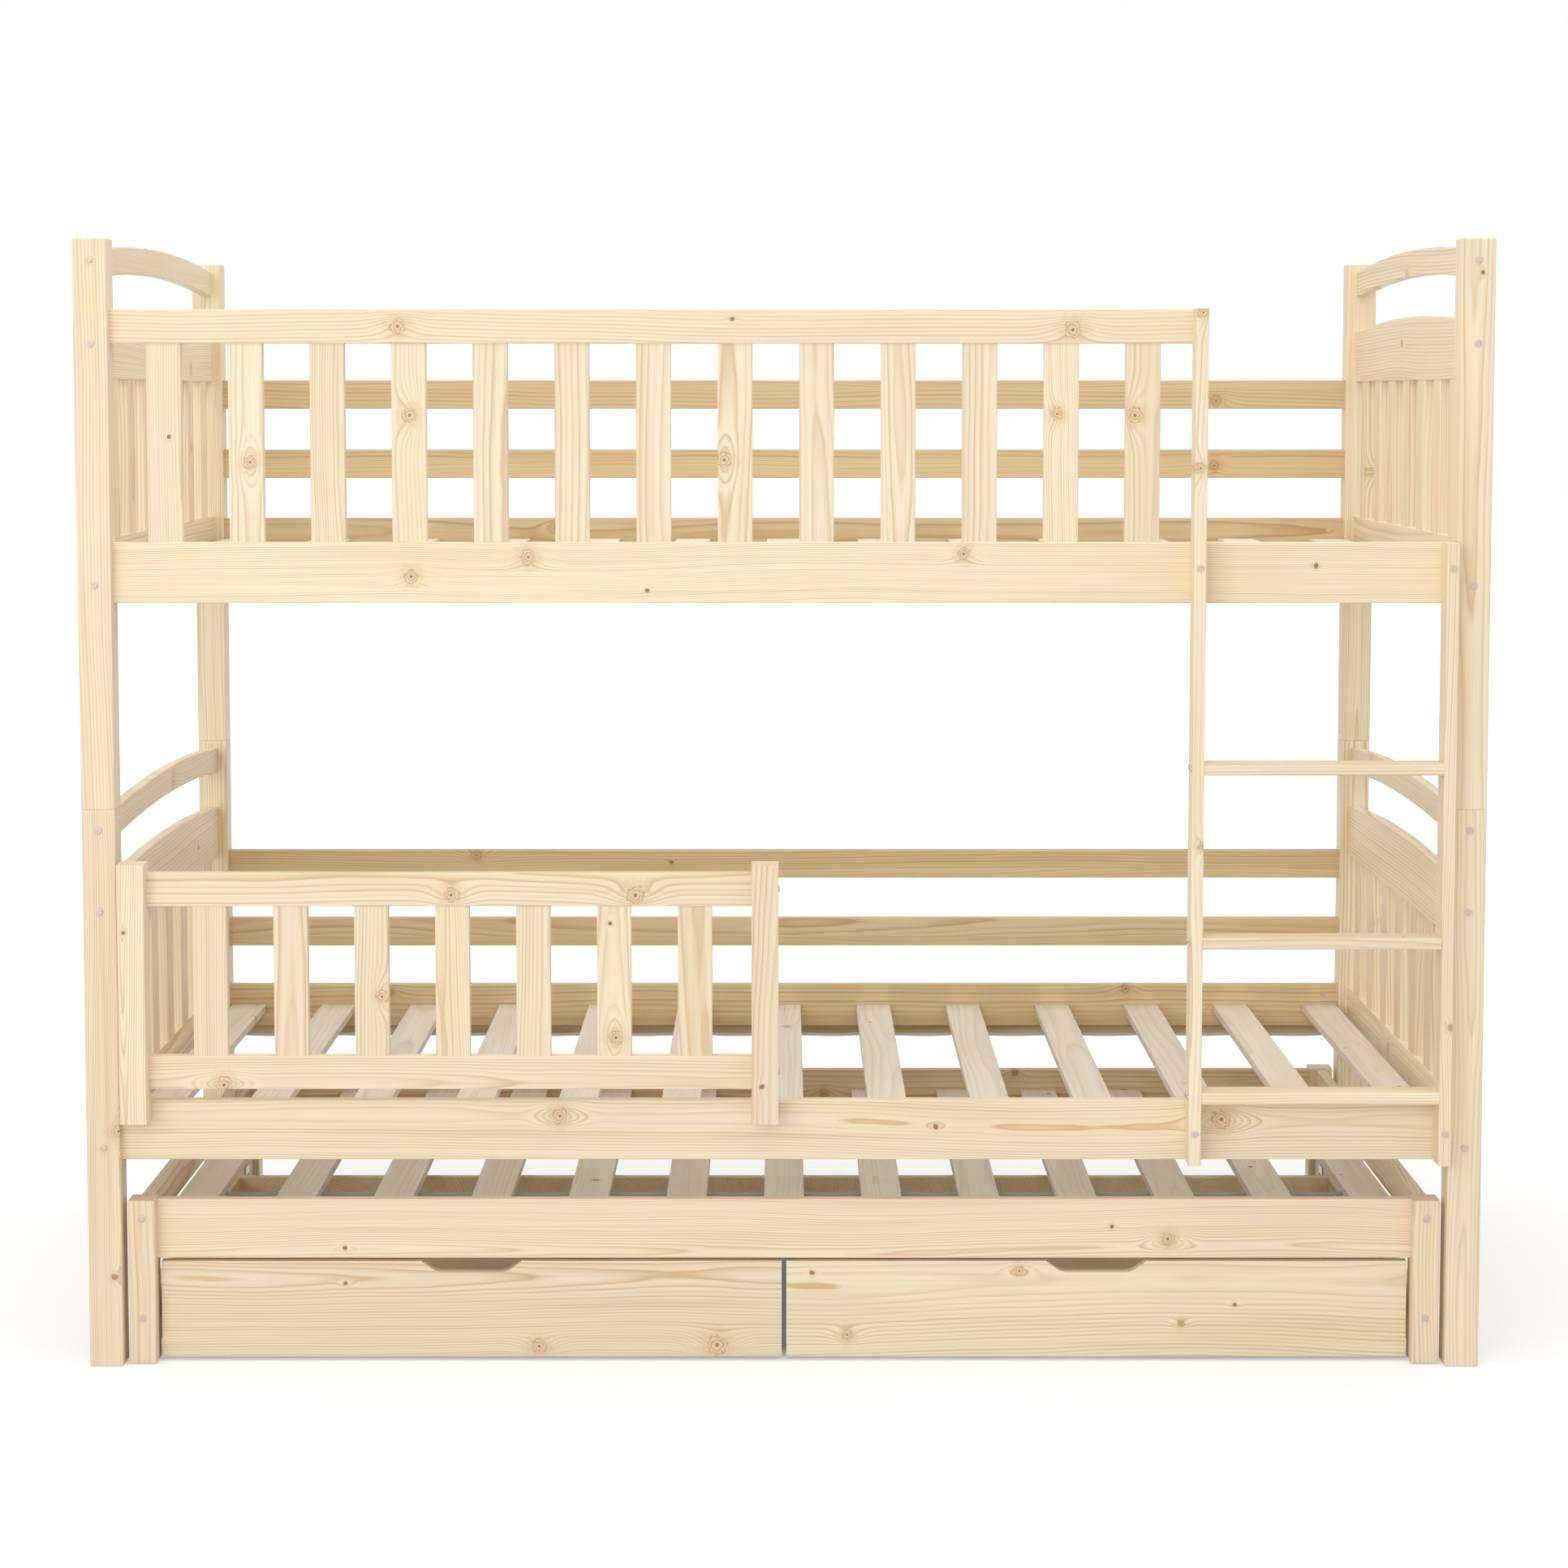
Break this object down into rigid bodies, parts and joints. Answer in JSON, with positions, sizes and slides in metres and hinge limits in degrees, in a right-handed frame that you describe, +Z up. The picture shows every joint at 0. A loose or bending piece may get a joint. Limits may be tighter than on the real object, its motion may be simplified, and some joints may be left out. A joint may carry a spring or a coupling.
{
  "type": "bunk bed",
  "caption": "Timber bunk bed with arched slatted ends, upright ladder and slatted guards, over a roll-out bed on castors that holds drawers of its own.",
  "frame": {"origin": "on the floor, below the middle of the whole object, ladder and bolt heads included", "axes": "+X along the beds, towards the ladder end; -Y to the front, where the ladder, the roll-out bed and the drawers are; +Z up"},
  "size_m": [2.08, 1.014, 1.6833],
  "materials": {
    "pine": "satin clear lacquer",
    "slat_pine": "planed, bare",
    "dowel_beech": "bare",
    "drawer_board": "thin plywood",
    "webbing": "woven tape",
    "bolt_finish": "satin beige coating",
    "zinc_steel": "zinc plated",
    "black_plastic": "moulded",
    "wheel_nylon": "moulded"
  },
  "bodies": {
    "bed_frame": {"back_guard_rails": "pine", "bunk_pins": "zinc_steel", "dowels": "dowel_beech", "end_cross_rails": "pine", "end_head_boards": "pine", "end_slats": "pine", "end_top_bars": "pine", "frame_bolts": "bolt_finish", "ladder_and_guard_bolts": "bolt_finish", "ladder_rungs": "pine", "ladder_stile_left": "pine", "ladder_stile_right": "pine", "lower_back_rail": "pine", "lower_bed_slats": "slat_pine", "lower_front_rail": "pine", "lower_guard_rails": "pine", "lower_guard_slats": "pine", "lower_guard_stiles": "pine", "lower_post_back_left": "pine", "lower_post_back_right": "pine", "lower_post_front_left": "pine", "lower_post_front_right": "pine", "nuts_and_inserts": "bolt_finish", "slat_ledgers": "slat_pine", "slat_tapes": "webbing", "upper_back_rail": "pine", "upper_bed_slats": "slat_pine", "upper_front_rail": "pine", "upper_guard_slats": "pine", "upper_guard_top_rail": "pine", "upper_post_back_left": "pine", "upper_post_back_right": "pine", "upper_post_front_left": "pine", "upper_post_front_right": "pine", "wood_screws": "zinc_steel"},
    "trundle": {"trundle_back_rail": "pine", "trundle_bolts_and_nuts": "bolt_finish", "trundle_castor_brackets": "zinc_steel", "trundle_end_rails": "pine", "trundle_front_rail": "pine", "trundle_ledgers": "slat_pine", "trundle_posts": "pine", "trundle_slats": "slat_pine", "trundle_tapes": "webbing"},
    "drawer_left": {"drawer_left_bottom": "drawer_board", "drawer_left_box": "pine", "drawer_left_caps": "black_plastic", "drawer_left_castor_housings": "black_plastic", "drawer_left_front": "pine"},
    "drawer_right": {"drawer_right_bottom": "drawer_board", "drawer_right_box": "pine", "drawer_right_caps": "black_plastic", "drawer_right_castor_housings": "black_plastic", "drawer_right_front": "pine"},
    "drawer_left_back_axle": {"drawer_left_back_wheels": "wheel_nylon"},
    "drawer_left_front_axle": {"drawer_left_front_wheels": "wheel_nylon"},
    "drawer_right_back_axle": {"drawer_right_back_wheels": "wheel_nylon"},
    "drawer_right_front_axle": {"drawer_right_front_wheels": "wheel_nylon"},
    "trundle_back_axle": {"trundle_back_wheels": "wheel_nylon"},
    "trundle_front_axle": {"trundle_front_wheels": "wheel_nylon"}
  },
  "joints": [
    {"name": "trundle_slide", "type": "slide", "parent": "bed_frame", "child": "trundle", "axis": [0, -1, 0], "range_m": [0, 0.9]},
    {"name": "drawer_left_slide", "type": "slide", "parent": "trundle", "child": "drawer_left", "axis": [0, -1, 0], "range_m": [0, 0.45]},
    {"name": "drawer_right_slide", "type": "slide", "parent": "trundle", "child": "drawer_right", "axis": [0, -1, 0], "range_m": [0, 0.45]},
    {"name": "trundle_front_wheels_roll", "type": "hinge", "parent": "trundle", "child": "trundle_front_axle", "pos_m": [0, -0.3545, 0.02], "axis": [1, 0, 0], "range_deg": [-5, 2583]},
    {"name": "trundle_back_wheels_roll", "type": "hinge", "parent": "trundle", "child": "trundle_back_axle", "pos_m": [0, 0.3955, 0.02], "axis": [1, 0, 0], "range_deg": [-5, 2583]},
    {"name": "drawer_left_front_wheels_roll", "type": "hinge", "parent": "drawer_left", "child": "drawer_left_front_axle", "pos_m": [0, -0.3675, 0.014], "axis": [1, 0, 0], "range_deg": [-5, 1847]},
    {"name": "drawer_left_back_wheels_roll", "type": "hinge", "parent": "drawer_left", "child": "drawer_left_back_axle", "pos_m": [0, 0.0755, 0.014], "axis": [1, 0, 0], "range_deg": [-5, 1847]},
    {"name": "drawer_right_front_wheels_roll", "type": "hinge", "parent": "drawer_right", "child": "drawer_right_front_axle", "pos_m": [0, -0.3675, 0.014], "axis": [1, 0, 0], "range_deg": [-5, 1847]},
    {"name": "drawer_right_back_wheels_roll", "type": "hinge", "parent": "drawer_right", "child": "drawer_right_back_axle", "pos_m": [0, 0.0755, 0.014], "axis": [1, 0, 0], "range_deg": [-5, 1847]}
  ],
  "couplings": [
    {"joint": "trundle_front_wheels_roll", "follows": "trundle_slide", "rad_per_m": 50},
    {"joint": "trundle_back_wheels_roll", "follows": "trundle_slide", "rad_per_m": 50},
    {"joint": "drawer_left_front_wheels_roll", "follows": "drawer_left_slide", "rad_per_m": 71.429},
    {"joint": "drawer_left_back_wheels_roll", "follows": "drawer_left_slide", "rad_per_m": 71.429},
    {"joint": "drawer_right_front_wheels_roll", "follows": "drawer_right_slide", "rad_per_m": 71.429},
    {"joint": "drawer_right_back_wheels_roll", "follows": "drawer_right_slide", "rad_per_m": 71.429}
  ]
}
